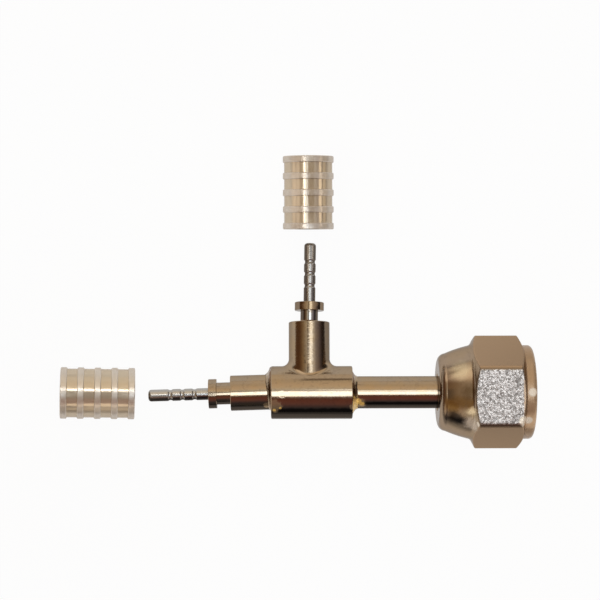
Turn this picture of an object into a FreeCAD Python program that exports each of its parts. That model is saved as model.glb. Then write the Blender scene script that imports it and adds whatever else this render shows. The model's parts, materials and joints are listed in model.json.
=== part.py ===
import FreeCAD, Part
import math
import os

# A small brazed tee for capillary hoses, with a loose flare nut (the union) on one end.
# Two grooved nipples take the hoses, and a ribbed crimp ferrule for each lies in front of it.
# All sizes are in millimetres.
#
# Every piece of the tee is first made in the tee's own frame: the run axis is X, with the union
# towards +X, the branch axis is +Y, and the two cross at the zero point. The tee is then laid on
# the ground as it comes to rest, on the nut, the end of the barrel and the end of the branch.

# Barrel and branch, one turned and drilled piece
barrel_diameter = 9.0
barrel_tail_length = 6.5
barrel_union_length = 7.3
branch_diameter = 7.0
branch_height = 12.0
branch_root_radius = 1.2
barrel_edge_break = 0.12
branch_edge_break = 0.1
passage_diameter = 3.6
branch_passage_diameter = 2.0

# Sockets for the brazed pieces
braze_clearance = 0.03
tail_socket_depth = 4.0
stem_socket_depth = 4.5
branch_socket_depth = 5.0
socket_overrun = 1.0

# Braze fillets, along the axis and out along the face. Each ends bluntly on both sides, its cheek
# is hollow by a share of its slope, and its hole is cut to the piece that stands in it.
tail_braze_length = 0.7
tail_braze_height = 1.1
stem_braze_length = 0.9
stem_braze_height = 1.4
branch_braze_length = 0.4
branch_braze_height = 0.45
braze_edge = 0.1
braze_hollow = 0.08

# Hose tails
shank_diameter = 6.0
shank_length = 6.9
run_neck_diameter = 3.75
run_neck_length = 2.35
branch_neck_diameter = 3.0
branch_neck_length = 2.0
collar_diameter = 5.0
collar_thickness = 1.4
nipple_diameter = 2.0
nipple_length = 10.25
nipple_bore_diameter = 0.9
nipple_tip_radius = 0.5
groove_count = 3
groove_pitch = 2.05
groove_width = 0.8
groove_depth = 0.15
run_first_groove = 2.4
branch_first_groove = 2.9
tail_edge_break = 0.06

# Both tails are brazed in a little crooked, in the plane of the run and the branch
run_tail_lean = 1.6
branch_tail_lean = 0.95

# Union stem with its 45 degree flare
stem_diameter = 5.5
stem_wall = 0.8
stem_free_length = 18.0
flare_diameter = 9.1

# Union nut
nut_length = 16.0
nut_across_flats = 17.0
nut_corner_radius = 1.2
nut_chamfer_angle = 62.0
nut_soft_edge = 0.25
nut_bell_length = 5.5
nut_bell_rear_diameter = 10.8
nut_bell_shoulder_diameter = 13.2
nut_bell_shoulder_length = 1.2
nut_bell_front_diameter = 16.0
nut_bell_swell = 0.12
nut_bell_root_radius = 0.8
nut_collar_diameter = 15.94
nut_collar_length = 1.65
nut_collar_edge_radius = 0.7
nut_bore_clearance = 0.25
nut_bore_length = 3.6
nut_bore_edge_break = 0.25
nut_seat_diameter = 10.6
nut_seat_gap = 0.15
thread_diameter = 11.12
thread_length = 8.0
thread_mouth_chamfer = 0.65
relief_diameter = 11.6

# Crimp ferrules
ferrule_length = 12.4
ferrule_diameter = 8.65
ferrule_groove_diameter = 8.2
ferrule_bore_diameter = 5.5
ferrule_rib_count = 5
ferrule_rib_width = 1.1
ferrule_edge_break = 0.12
ferrule_mouth_chamfer = 0.3
run_ferrule_gap = 2.4
branch_ferrule_gap = 2.4
run_ferrule_offset = 0.28
run_ferrule_turn = -1.45

# What the sizes above fix
barrel_radius = barrel_diameter / 2
branch_radius = branch_diameter / 2
shank_radius = shank_diameter / 2
branch_neck_radius = branch_neck_diameter / 2
collar_radius = collar_diameter / 2
nipple_radius = nipple_diameter / 2
stem_radius = stem_diameter / 2
shank_start = barrel_tail_length - tail_socket_depth
shank_end = barrel_tail_length + shank_length
run_collar_start = shank_end + run_neck_length
run_nipple_start = run_collar_start + collar_thickness
run_tip = run_nipple_start + nipple_length
run_tail_pivot = barrel_tail_length + shank_length / 2
branch_neck_start = branch_height - branch_socket_depth
branch_collar_start = branch_height + branch_neck_length
branch_nipple_start = branch_collar_start + collar_thickness
branch_tip = branch_nipple_start + nipple_length
stem_start = barrel_union_length - stem_socket_depth
flare_root = barrel_union_length + stem_free_length
nut_bore_radius = stem_radius + nut_bore_clearance
nut_rear = flare_root + nut_bore_clearance - nut_bore_length - nut_seat_gap
hexagon_start = nut_rear + nut_bell_length
hexagon_end = nut_rear + nut_length - nut_collar_length
chamfer_slope = math.tan(math.radians(nut_chamfer_angle))

ORIGIN = FreeCAD.Vector(0, 0, 0)
X_AXIS = FreeCAD.Vector(1, 0, 0)
Y_AXIS = FreeCAD.Vector(0, 1, 0)
Z_AXIS = FreeCAD.Vector(0, 0, 1)


class HalfSection:
    """A closed outline of (distance, radius) points that is turned about the X axis."""

    def __init__(self, distance, radius):
        self.first = FreeCAD.Vector(distance, radius, 0)
        self.last = self.first
        self.edges = []

    def line(self, distance, radius):
        end = FreeCAD.Vector(distance, radius, 0)
        self.edges.append(Part.makeLine(self.last, end))
        self.last = end

    def arc(self, middle, end):
        middle = FreeCAD.Vector(*middle, 0)
        end = FreeCAD.Vector(*end, 0)
        self.edges.append(Part.Arc(self.last, middle, end).toShape())
        self.last = end

    def turned(self):
        self.edges.append(Part.makeLine(self.last, self.first))
        face = Part.Face(Part.Wire(self.edges))
        return face.revolve(ORIGIN, X_AXIS, 360)


def turned_points(points):
    section = HalfSection(*points[0])
    for distance, radius in points[1:]:
        section.line(distance, radius)
    return section.turned()


def shaft_points(start, steps, edge_break):
    """Outer points of a stepped shaft from (radius, end) steps, with its outer edges broken."""
    points = [(start, steps[0][0] - edge_break), (start + edge_break, steps[0][0])]
    for (radius, end), (next_radius, _) in zip(steps, steps[1:]):
        if radius > next_radius:
            points += [(end - edge_break, radius), (end, radius - edge_break), (end, next_radius)]
        else:
            points += [(end, radius), (end, next_radius - edge_break), (end + edge_break, next_radius)]
    last_radius, last_end = steps[-1]
    return points + [(last_end - edge_break, last_radius), (last_end, last_radius - edge_break)]


def shaft(start, steps, edge_break):
    end = steps[-1][1]
    return turned_points([(start, 0)] + shaft_points(start, steps, edge_break) + [(end, 0)])


def bar(start, end, radius):
    """A round bar along the X axis."""
    return Part.makeCylinder(radius, end - start, FreeCAD.Vector(start, 0, 0), X_AXIS)


def drilled(shape, start, end, radius):
    """The shape with a round hole along the X axis."""
    return shape.cut(bar(start, end, radius))


def along_branch(shape):
    """A shape made along X, turned to lie along the branch axis."""
    return shape.rotated(ORIGIN, Z_AXIS, 90)


def along_tail(shape):
    """A shape made along X, turned to point away from the union."""
    return shape.rotated(ORIGIN, Z_AXIS, 180)


def as_run_tail(shape):
    """A shape made along X, where the crooked run tail sits."""
    pivot = FreeCAD.Vector(-run_tail_pivot, 0, 0)
    return along_tail(shape).rotated(pivot, Z_AXIS, run_tail_lean)


def as_branch_tail(shape):
    """A shape made along X, where the crooked branch tail sits."""
    pivot = FreeCAD.Vector(0, branch_height, 0)
    return along_branch(shape).rotated(pivot, Z_AXIS, -branch_tail_lean)


def make_tee_body():
    barrel = shaft(-barrel_tail_length, [(barrel_radius, barrel_union_length)], barrel_edge_break)
    branch = along_branch(shaft(0, [(branch_radius, branch_height)], branch_edge_break))
    body = barrel.fuse(branch).removeSplitter()
    body = body.makeFillet(branch_root_radius, [e for e in body.Edges if is_branch_root(e)])
    body = drilled(body, -barrel_tail_length, barrel_union_length, passage_diameter / 2)
    body = drilled(body, stem_start, barrel_union_length, stem_radius + braze_clearance)
    run_mouth = barrel_tail_length + socket_overrun
    run_socket = bar(shank_start, run_mouth, shank_radius + braze_clearance)
    branch_mouth = branch_height + socket_overrun
    branch_socket = bar(branch_neck_start, branch_mouth, branch_neck_radius + braze_clearance)
    branch_passage = along_branch(bar(0, branch_height, branch_passage_diameter / 2))
    return body.cut(as_run_tail(run_socket)).cut(as_branch_tail(branch_socket)).cut(branch_passage)


def is_branch_root(edge):
    """True for the curve where the branch grows out of the barrel."""
    for point in edge.discretize(5):
        off_run = math.hypot(point.y, point.z)
        off_branch = math.hypot(point.x, point.z)
        if abs(off_run - barrel_radius) > 0.01 or abs(off_branch - branch_radius) > 0.01:
            return False
    return True


def nipple_section(start, steps, first_groove):
    """Half section of a tail: stepped shaft, then a grooved nipple with a rounded tip."""
    nipple_start = steps[-1][1]
    tip = nipple_start + nipple_length
    outline = shaft_points(start, steps + [(nipple_radius, tip)], tail_edge_break)[:-2]
    section = HalfSection(start, 0)
    for distance, radius in outline:
        section.line(distance, radius)
    for index in range(groove_count):
        middle = nipple_start + first_groove + index * groove_pitch
        section.line(middle - groove_width / 2, nipple_radius)
        section.arc((middle, nipple_radius - groove_depth), (middle + groove_width / 2, nipple_radius))
    section.line(tip - nipple_tip_radius, nipple_radius)
    bulge = nipple_tip_radius * (1 - math.sqrt(0.5))
    section.arc((tip - bulge, nipple_radius - bulge), (tip, nipple_radius - nipple_tip_radius))
    section.line(tip, 0)
    return section


def make_run_hose_tail():
    steps = [
        (shank_radius, shank_end),
        (run_neck_diameter / 2, run_collar_start),
        (collar_radius, run_nipple_start),
    ]
    tail = nipple_section(shank_start, steps, run_first_groove).turned()
    tail = drilled(tail, shank_start, run_tip, nipple_bore_diameter / 2)
    tail = drilled(tail, shank_start, barrel_tail_length + shank_length / 2, passage_diameter / 2)
    return as_run_tail(tail)


def make_branch_hose_tail():
    steps = [(branch_neck_radius, branch_collar_start), (collar_radius, branch_nipple_start)]
    tail = nipple_section(branch_neck_start, steps, branch_first_groove).turned()
    tail = drilled(tail, branch_neck_start, branch_tip, nipple_bore_diameter / 2)
    return as_branch_tail(tail)


def make_braze(face, core_radius, length, height):
    """A slightly hollow ring of braze on a face. Its hole is left tight, and is cut to its core."""
    run = length - braze_edge
    rise = height - braze_edge
    hole_radius = core_radius - braze_edge
    middle = face + braze_edge + run / 2 - braze_hollow * rise
    middle_radius = core_radius + braze_edge + rise / 2 - braze_hollow * run
    section = HalfSection(face, hole_radius)
    section.line(face, core_radius + height)
    section.line(face + braze_edge, core_radius + height)
    section.arc((middle, middle_radius), (face + length, core_radius + braze_edge))
    section.line(face + length, hole_radius)
    return section.turned()


def make_run_braze():
    """The ring round the crooked shank: square on the barrel's end, and centred on the shank."""
    ring = along_tail(make_braze(barrel_tail_length, shank_radius, tail_braze_length, tail_braze_height))
    to_pivot = run_tail_pivot - barrel_tail_length - tail_braze_length / 2
    off_axis = to_pivot * math.tan(math.radians(run_tail_lean))
    shank = bar(shank_start, shank_end, shank_radius)
    return ring.translated(FreeCAD.Vector(0, off_axis, 0)).cut(as_run_tail(shank))


def make_stem_braze():
    ring = make_braze(barrel_union_length, stem_radius, stem_braze_length, stem_braze_height)
    return drilled(ring, stem_start, flare_root, stem_radius)


def make_branch_braze():
    ring = make_braze(branch_height, branch_neck_radius, branch_braze_length, branch_braze_height)
    neck = bar(branch_neck_start, branch_collar_start, branch_neck_radius)
    return along_branch(ring).cut(as_branch_tail(neck))


def make_union_stem():
    bore_radius = stem_radius - stem_wall
    flare_radius = flare_diameter / 2
    rim = flare_root + flare_radius - stem_radius
    rim_step = stem_wall * math.sqrt(0.5)
    cone_start = flare_root - stem_wall + 2 * rim_step
    return turned_points([
        (stem_start, bore_radius),
        (stem_start, stem_radius),
        (flare_root, stem_radius),
        (rim, flare_radius),
        (rim + rim_step, flare_radius - rim_step),
        (cone_start, bore_radius),
    ])


def make_hexagon():
    """Six flats with rounded corners, turned off to a cone at each end."""
    corner_radius = nut_across_flats / math.cos(math.radians(30)) / 2
    corners = []
    for index in range(7):
        angle = math.radians(60 * index)
        y = corner_radius * math.cos(angle)
        z = corner_radius * math.sin(angle)
        corners.append(FreeCAD.Vector(hexagon_start, y, z))
    face = Part.Face(Part.makePolygon(corners))
    prism = face.extrude(FreeCAD.Vector(hexagon_end - hexagon_start, 0, 0))
    long_edges = [e for e in prism.Edges if abs(e.tangentAt(e.FirstParameter).x) > 0.9]
    prism = prism.makeFillet(nut_corner_radius, long_edges)
    rear_radius = nut_bell_front_diameter / 2
    front_radius = nut_collar_diameter / 2
    envelope = turned_points([
        (hexagon_start, 0),
        (hexagon_start, rear_radius),
        (hexagon_start + (corner_radius - rear_radius) / chamfer_slope, corner_radius),
        (hexagon_end - (corner_radius - front_radius) / chamfer_slope, corner_radius),
        (hexagon_end, front_radius),
        (hexagon_end, 0),
    ])
    hexagon = prism.common(envelope)
    return hexagon.makeFillet(nut_soft_edge, [e for e in hexagon.Edges if is_chamfer_rim(e)])


def is_chamfer_rim(edge):
    """True for the curves where a cone of the hexagon meets a flat or a rounded corner."""
    across = abs(edge.tangentAt(edge.FirstParameter).x) < 0.9
    middle = edge.valueAt((edge.FirstParameter + edge.LastParameter) / 2)
    return across and math.hypot(middle.y, middle.z) > nut_across_flats / 2 - 0.01


def make_bell():
    """The smooth bell behind the hexagon."""
    rear_radius = nut_bell_rear_diameter / 2
    shoulder = (nut_rear + nut_bell_shoulder_length, nut_bell_shoulder_diameter / 2)
    front = (hexagon_start, nut_bell_front_diameter / 2)
    shoulder_step = shoulder[1] - rear_radius
    shoulder_middle = (nut_rear + nut_bell_shoulder_length * 0.32, rear_radius + shoulder_step * 0.66)
    bell_middle = ((shoulder[0] + front[0]) / 2, (shoulder[1] + front[1]) / 2 + nut_bell_swell)
    section = HalfSection(nut_rear, 0)
    section.line(nut_rear, rear_radius)
    section.arc(shoulder_middle, shoulder)
    section.arc(bell_middle, front)
    section.line(hexagon_start, 0)
    return section.turned()


def make_nut_collar():
    """The round collar in front of the hexagon, rounded over at its rim."""
    front = nut_rear + nut_length
    radius = nut_collar_diameter / 2
    bulge = nut_collar_edge_radius * (1 - math.sqrt(0.5))
    section = HalfSection(hexagon_end, 0)
    section.line(hexagon_end, radius)
    section.line(front - nut_collar_edge_radius, radius)
    section.arc((front - bulge, radius - bulge), (front, radius - nut_collar_edge_radius))
    section.line(front, 0)
    return section.turned()


def make_nut_hollow():
    """Everything that is cut out of the nut: loose bore, flare seat, relief, thread and mouth."""
    front = nut_rear + nut_length
    seat_radius = nut_seat_diameter / 2
    thread_radius = thread_diameter / 2
    seat_start = nut_rear + nut_bore_length
    seat_end = seat_start + seat_radius - nut_bore_radius
    thread_end = front - thread_mouth_chamfer - thread_length
    return turned_points([
        (nut_rear, 0),
        (nut_rear, nut_bore_radius + nut_bore_edge_break),
        (nut_rear + nut_bore_edge_break, nut_bore_radius),
        (seat_start, nut_bore_radius),
        (seat_end, seat_radius),
        (seat_end, relief_diameter / 2),
        (thread_end, relief_diameter / 2),
        (thread_end, thread_radius),
        (front - thread_mouth_chamfer, thread_radius),
        (front, thread_radius + thread_mouth_chamfer),
        (front, 0),
    ])


def make_union_nut():
    nut = make_bell().fuse(make_hexagon()).fuse(make_nut_collar()).removeSplitter()
    nut = nut.makeFillet(nut_bell_root_radius, [e for e in nut.Edges if is_bell_root(e)])
    return nut.cut(make_nut_hollow())


def is_bell_root(edge):
    """True for the circle where the bell meets the hexagon's rear cone."""
    box = edge.BoundBox
    flat = box.XLength < 0.01
    return flat and abs(box.XMin - hexagon_start) < 0.01 and abs(box.YMax - nut_bell_front_diameter / 2) < 0.01


def make_ferrule():
    """A crimp ferrule along X with its near end at zero: ribs with shallow grooves between them."""
    rib_pitch = (ferrule_length - ferrule_rib_width) / (ferrule_rib_count - 1)
    steps = []
    for index in range(ferrule_rib_count):
        rib_start = index * rib_pitch
        if index > 0:
            steps.append((ferrule_groove_diameter / 2, rib_start))
        steps.append((ferrule_diameter / 2, rib_start + ferrule_rib_width))
    bore_radius = ferrule_bore_diameter / 2
    hollow = turned_points([
        (0, 0),
        (0, bore_radius + ferrule_mouth_chamfer),
        (ferrule_mouth_chamfer, bore_radius),
        (ferrule_length - ferrule_mouth_chamfer, bore_radius),
        (ferrule_length, bore_radius + ferrule_mouth_chamfer),
        (ferrule_length, 0),
    ])
    return shaft(0, steps, ferrule_edge_break).cut(hollow)


def nut_rest_distance():
    """Distance along the run of the lowest edge of the nut: the rear end of the flat it lies on."""
    flat_over_bell = (nut_across_flats - nut_bell_front_diameter) / 2
    softened = nut_soft_edge * math.tan(math.radians(nut_chamfer_angle / 2))
    return hexagon_start + flat_over_bell / chamfer_slope + softened


def lean_onto(rim):
    """Lean of the run when both the nut's flat and a rim on the tail side touch the ground."""
    distance, radius = rim
    return math.atan2(nut_across_flats / 2 - radius, nut_rest_distance() + distance)


def dip_onto(rim, height):
    """Dip of the branch when a rim on it touches the ground, with the run axis at this height."""
    distance, radius = rim
    return math.asin(height / math.hypot(distance, radius)) - math.atan2(radius, distance)


def resting_placement():
    """The tee's frame as it lies: leaning down from the nut, and rolled until the branch lands."""
    tail_rims = [
        (barrel_tail_length - barrel_edge_break, barrel_radius),
        (shank_end - tail_edge_break, shank_radius),
        (run_nipple_start - tail_edge_break, collar_radius),
        (run_tip - nipple_tip_radius, nipple_radius),
    ]
    branch_rims = [
        (branch_height - branch_edge_break, branch_radius),
        (branch_nipple_start - tail_edge_break, collar_radius),
        (branch_tip - nipple_tip_radius, nipple_radius),
    ]
    lean = min(lean_onto(rim) for rim in tail_rims)
    height = nut_across_flats / 2 * math.cos(lean) - nut_rest_distance() * math.sin(lean)
    dip = min(dip_onto(rim, height) for rim in branch_rims)
    roll = math.asin(math.sin(dip) / math.cos(lean))
    lean_turn = FreeCAD.Rotation(Y_AXIS, -math.degrees(lean))
    roll_turn = FreeCAD.Rotation(X_AXIS, -math.degrees(roll))
    base = FreeCAD.Vector(0, 0, height)
    return FreeCAD.Placement(base, lean_turn.multiply(roll_turn)), FreeCAD.Placement(base, lean_turn)


def moved(shape, placement):
    return shape.transformed(placement.toMatrix())


def make_parts():
    """Every piece where it lies, with the ground at zero height and the layout centred on it."""
    tee_place, nut_place = resting_placement()
    tee_pieces = {
        "tee_body": make_tee_body(),
        "run_hose_tail": make_run_hose_tail(),
        "branch_hose_tail": make_branch_hose_tail(),
        "union_stem": make_union_stem(),
        "run_braze": make_run_braze(),
        "stem_braze": make_stem_braze(),
        "branch_braze": make_branch_braze(),
    }
    parts = {name: moved(shape, tee_place) for name, shape in tee_pieces.items()}
    parts["union_nut"] = moved(make_union_nut(), nut_place)

    run_tip_place = tee_place.multVec(FreeCAD.Vector(-run_tip, 0, 0))
    branch_tip_place = tee_place.multVec(FreeCAD.Vector(0, branch_tip, 0))
    ferrule_height = ferrule_diameter / 2
    run_start = FreeCAD.Vector(run_tip_place.x - run_ferrule_gap, run_ferrule_offset, ferrule_height)
    branch_start = FreeCAD.Vector(0, branch_tip_place.y + branch_ferrule_gap, ferrule_height)
    ferrule_middle = FreeCAD.Vector(-ferrule_length / 2, 0, 0)
    run_ferrule = along_tail(make_ferrule()).rotated(ferrule_middle, Z_AXIS, run_ferrule_turn)
    parts["run_ferrule"] = run_ferrule.translated(run_start)
    parts["branch_ferrule"] = along_branch(make_ferrule()).translated(branch_start)

    box = Part.makeCompound(list(parts.values())).optimalBoundingBox(False)
    centre = FreeCAD.Vector(-(box.XMin + box.XMax) / 2, -(box.YMin + box.YMax) / 2, 0)
    return {name: shape.translated(centre) for name, shape in parts.items()}


parts = make_parts()
os.makedirs("parts", exist_ok=True)
for name, shape in parts.items():
    shape.exportStep(os.path.join("parts", name + ".step"))
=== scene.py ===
import json
import math

import bmesh
import bpy
from bpy.props import FloatProperty, FloatVectorProperty, IntProperty, PointerProperty
from mathutils import Matrix, Vector, noise


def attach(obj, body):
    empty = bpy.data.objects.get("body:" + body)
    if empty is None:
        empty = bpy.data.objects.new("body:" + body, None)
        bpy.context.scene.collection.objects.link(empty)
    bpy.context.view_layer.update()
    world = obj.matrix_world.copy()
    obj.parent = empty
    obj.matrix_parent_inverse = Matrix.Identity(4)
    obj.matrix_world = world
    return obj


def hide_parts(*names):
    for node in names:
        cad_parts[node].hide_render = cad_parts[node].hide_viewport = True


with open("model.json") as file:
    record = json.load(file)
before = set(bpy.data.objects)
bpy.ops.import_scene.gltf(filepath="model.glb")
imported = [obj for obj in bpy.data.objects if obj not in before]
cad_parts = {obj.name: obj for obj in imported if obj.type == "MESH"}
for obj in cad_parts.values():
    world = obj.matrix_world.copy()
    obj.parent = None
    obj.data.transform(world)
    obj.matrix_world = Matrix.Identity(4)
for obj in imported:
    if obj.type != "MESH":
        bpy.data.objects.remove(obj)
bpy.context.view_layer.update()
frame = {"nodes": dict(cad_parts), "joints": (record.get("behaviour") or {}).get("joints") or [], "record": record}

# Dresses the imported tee: metal finishes on its own pieces, uneven braze beads in place of the plain
# rings, the union's thread, and the stage it is photographed on.

bl_info = {
    "name": "Solder tee with union",
    "version": (1, 0, 0),
    "blender": (4, 5, 0),
    "location": "3D View > Sidebar > Solder tee",
    "description": "Metal finishes, braze beads, union thread and stage of a small brazed tee",
    "category": "Object",
}

MILLIMETRE = 0.001


# Frames of the pieces. Each has its X axis along the piece, and patterns and new shapes are laid
# out in it in millimetres.

def frame_at(origin, along, across):
    """Matrix of a frame from its zero point, its X direction and a rough Y direction."""
    x = Vector(along).normalized()
    z = x.cross(Vector(across)).normalized()
    y = z.cross(x)
    turn = Matrix((x, y, z)).transposed().to_4x4()
    return Matrix.Translation(Vector(origin)) @ turn


def mount(name):
    """Place and direction of one of the record's mounts."""
    row = next(row for row in frame["record"]["mounts"] if row["name"] == name)
    return Vector(row["pos_m"]), Vector(row["axis"])


def tail_frame(nipple, middle, across):
    """Frame on a crooked tail's own axis, with its zero where that axis meets the crossing."""
    place, axis = mount(nipple)
    return frame_at(place - axis * middle, axis, across)


UNION_JOINT = next(joint for joint in frame["joints"] if joint["name"] == "union_turn")
RUN_AXIS = Vector(UNION_JOINT["axis"])
# Distances from the crossing of the run and the branch to the joint and to the tails' mounts
UNION_MIDDLE = 29.8 * MILLIMETRE
BRANCH_NIPPLE_MIDDLE = 20.275 * MILLIMETRE
RUN_NIPPLE_MIDDLE = 22.025 * MILLIMETRE

CROSSING = Vector(UNION_JOINT["pos_m"]) - RUN_AXIS * UNION_MIDDLE
TEE = frame_at(CROSSING, RUN_AXIS, mount("branch_nipple")[1])
BRANCH = tail_frame("branch_nipple", BRANCH_NIPPLE_MIDDLE, (-1, 0, 0))
TAIL = tail_frame("run_nipple", RUN_NIPPLE_MIDDLE, (0, -1, 0))
NUT = frame_at(CROSSING, RUN_AXIS, (0, 1, 0))
RUN_FERRULE = frame_at(*mount("run_ferrule_bore"), (0, -1, 0))
BRANCH_FERRULE = frame_at(*mount("branch_ferrule_bore"), (-1, 0, 0))


# What a user can change

def colour(name, description, value):
    return FloatVectorProperty(
        name=name, description=description, default=value, size=3, min=0, max=1, subtype="COLOR"
    )


def length(name, description, value):
    return FloatProperty(
        name=name, description=description, default=value * MILLIMETRE, min=0, precision=5,
        unit="LENGTH",
    )


def share(name, description, value):
    return FloatProperty(
        name=name, description=description, default=value, min=0, max=1, subtype="FACTOR"
    )


def number(name, description, value):
    return FloatProperty(name=name, description=description, default=value, min=0)


class TeeFinishes(bpy.types.PropertyGroup):
    """Colours and roughness of the metals."""
    nickel: colour("Nickel wash", "Thin nickel over the tee, stem and tails", (0.34, 0.258, 0.178))
    nickel_pale: colour("Pale nickel", "Thicker nickel on the nipples", (0.43, 0.41, 0.38))
    nickel_warm: colour("Warm patches", "Where brass glows through the nickel", (0.38, 0.265, 0.15))
    # The next colour is both real tarnish and painted shade down the tails' sides and round the nut's upper flat
    nickel_tarnish_and_shade: colour("Dark patches", "Tarnish on the nickel", (0.22, 0.16, 0.11))
    # The next colour is painted shade, laid on the dark sides of the nickel pieces
    painted_dark_shade: colour("Heat oxide", "Dark oxide from brazing, on the low side", (0.042, 0.035, 0.031))
    nut: colour("Nut", "Nickel wash on the union nut", (0.345, 0.255, 0.18))
    nut_flat: colour("Nut flats", "Nickel wash on the grainy flats", (0.43, 0.295, 0.187))
    # The next two colours paint the lamp's glint on the nut's upper flat, in shaded and bright grains
    nut_glint_shaded_grains: colour("Frosted flat", "Shaded grains of the silvery flat", (0.235, 0.21, 0.188))
    nut_painted_glint: colour("Frost glints", "Bright grains of the silvery flat", (0.63, 0.57, 0.52))
    nut_collar: colour("Nut collar", "Matt tan of the nut's collar", (0.42, 0.28, 0.165))
    # The next colour paints highlights on the nut's rounded corners
    nut_painted_highlight: colour("Bright spots", "Bare bright spots on the nut's corners", (0.86, 0.76, 0.62))
    ferrule: colour("Ferrule", "Bare aluminium of the crimp ferrules", (0.66, 0.6, 0.53))
    # The next colour is both the dark patches and painted shade in the grooves between the ribs
    ferrule_dark_and_groove_shade: colour("Ferrule grooves", "Darker aluminium between the ribs", (0.6, 0.51, 0.39))
    braze: colour("Braze", "Golden braze alloy", (0.72, 0.46, 0.13))
    braze_burnt: colour("Burnt braze", "Flux stain beside the braze", (0.17, 0.09, 0.04))
    polish: share("Roughness", "Roughness of the polished turned faces", 0.11)
    pale_dulled: share("Nipple roughness", "How much rougher the nipples are than the rest", 0.16)
    nut_polish: share("Nut roughness", "Roughness of the nut's round faces", 0.2)
    nut_matt: share("Flat roughness", "Roughness of the nut's flats", 0.42)
    frost: share("Frost roughness", "Roughness of the nut's silvery flat", 0.4)
    collar_matt: share("Collar roughness", "Roughness of the nut's collar", 0.3)
    satin: share("Ferrule roughness", "Roughness of the ferrules' ribs", 0.28)
    satin_metal: share("Ferrule metal", "How much of a ferrule's dull skin shines as metal", 0.5)


class UnionThread(bpy.types.PropertyGroup):
    """Sizes of the thread inside the nut."""
    pitch: length("Pitch", "Distance from one turn to the next", 1.27)
    major: length("Major diameter", "Across the thread's roots, in the wall", 11.12)
    minor: length("Minor diameter", "Across the thread's crests", 9.86)
    start: length("Start", "First turn's distance from the crossing of run and branch", 29.5)
    end: length("End", "Last turn's distance from the crossing of run and branch", 36.85)
    steps: IntProperty(
        name="Steps per turn", description="Faces round one turn", default=48, min=12, max=96
    )


class BrazeBeads(bpy.types.PropertyGroup):
    """Shape of the beads round the brazed joints."""
    wobble: share("Unevenness", "How far the beads swell and shrink round the joint", 0.35)
    steps: IntProperty(name="Steps", description="Faces round a bead", default=96, min=24, max=240)


class PhotoStage(bpy.types.PropertyGroup):
    """The camera, the lamps and the floor."""
    camera_distance: length("Camera distance", "From the camera to the point it looks at", 276.9)
    lens: number("Lens", "Focal length of the camera in millimetres", 97.72)
    lamp_height: length("Lamp height", "Height of the soft lamps over the floor", 420)
    lamp_light: number("Lamp light", "Brightness of the soft lamps", 4.2)
    lamp_tint: colour("Lamp tint", "Colour of the soft lamps", (0.72, 0.85, 1.0))
    card_light: number("Card light", "Brightness of the cards round the ferrules", 1.0)
    floor_white: share("Floor white", "How much of the floor is plain white in a shadow too", 0.95)
    floor_mirrored: share("Mirrored floor", "How bright metal mirrors the floor close to it", 0.95)
    floor_far: share("Mirrored far floor", "The same, out where the light has fallen off", 0.35)


def settings(name):
    return getattr(bpy.context.scene, name)


# Node trees

class Wiring:
    """Adds nodes to one tree and links them."""

    def __init__(self, tree):
        self.tree = tree

    def add(self, kind, inputs=None, **settings):
        node = self.tree.nodes.new(kind)
        for name, value in settings.items():
            setattr(node, name, value)
        for name, value in (inputs or {}).items():
            self.feed(node.inputs[name], value)
        return node

    def feed(self, socket, value):
        if isinstance(value, bpy.types.NodeSocket):
            self.tree.links.new(value, socket)
        else:
            socket.default_value = value

    def give(self, end, **values):
        """Feeds the outputs of a group, and returns its tree."""
        for name, value in values.items():
            self.feed(end.inputs[name], value)
        return self.tree

    def math(self, operation, *values, clamp=False):
        inputs = dict(enumerate(values))
        return self.add("ShaderNodeMath", inputs, operation=operation, use_clamp=clamp).outputs[0]

    def plus(self, first, second):
        return self.math("ADD", first, second)

    def minus(self, first, second):
        return self.math("SUBTRACT", first, second)

    def times(self, first, second):
        return self.math("MULTIPLY", first, second)

    def times_plus(self, first, second, third):
        """The first times the second, plus the third."""
        return self.math("MULTIPLY_ADD", first, second, third)

    def ramp(self, value, low, high, to_low=0.0, to_high=1.0):
        """Smooth step of a value between two marks."""
        inputs = {0: value, "From Min": low, "From Max": high, "To Min": to_low, "To Max": to_high}
        return self.add("ShaderNodeMapRange", inputs, interpolation_type="SMOOTHSTEP").outputs[0]

    def blend(self, factor, first, second):
        inputs = {0: factor, 6: first, 7: second}
        return self.add("ShaderNodeMix", inputs, data_type="RGBA").outputs[2]

    def noise(self, vector, scale, detail=2.0, roughness=0.6, dimensions="3D"):
        inputs = {"Vector": vector, "Scale": scale, "Detail": detail, "Roughness": roughness}
        return self.add("ShaderNodeTexNoise", inputs, noise_dimensions=dimensions).outputs[0]

    def vector_math(self, operation, first, second):
        """A vector, or for a dot product or a distance a number."""
        node = self.add("ShaderNodeVectorMath", {0: first, 1: second}, operation=operation)
        return node.outputs["Value" if operation in ("DOT_PRODUCT", "DISTANCE") else "Vector"]

    def dot(self, first, second):
        return self.vector_math("DOT_PRODUCT", first, second)

    def resized(self, vector, size):
        """The vector counted in steps of this size."""
        inputs = {0: vector, "Scale": self.math("DIVIDE", 1.0, size)}
        return self.add("ShaderNodeVectorMath", inputs, operation="SCALE").outputs[0]


def rgba(values):
    return (*values, 1.0)


def grey(level):
    return (level, level, level, 1.0)


def bare_wiring(owner):
    """Wiring of a new material or world, with its nodes taken out."""
    owner.use_nodes = True
    owner.node_tree.nodes.clear()
    return Wiring(owner.node_tree)


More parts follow.
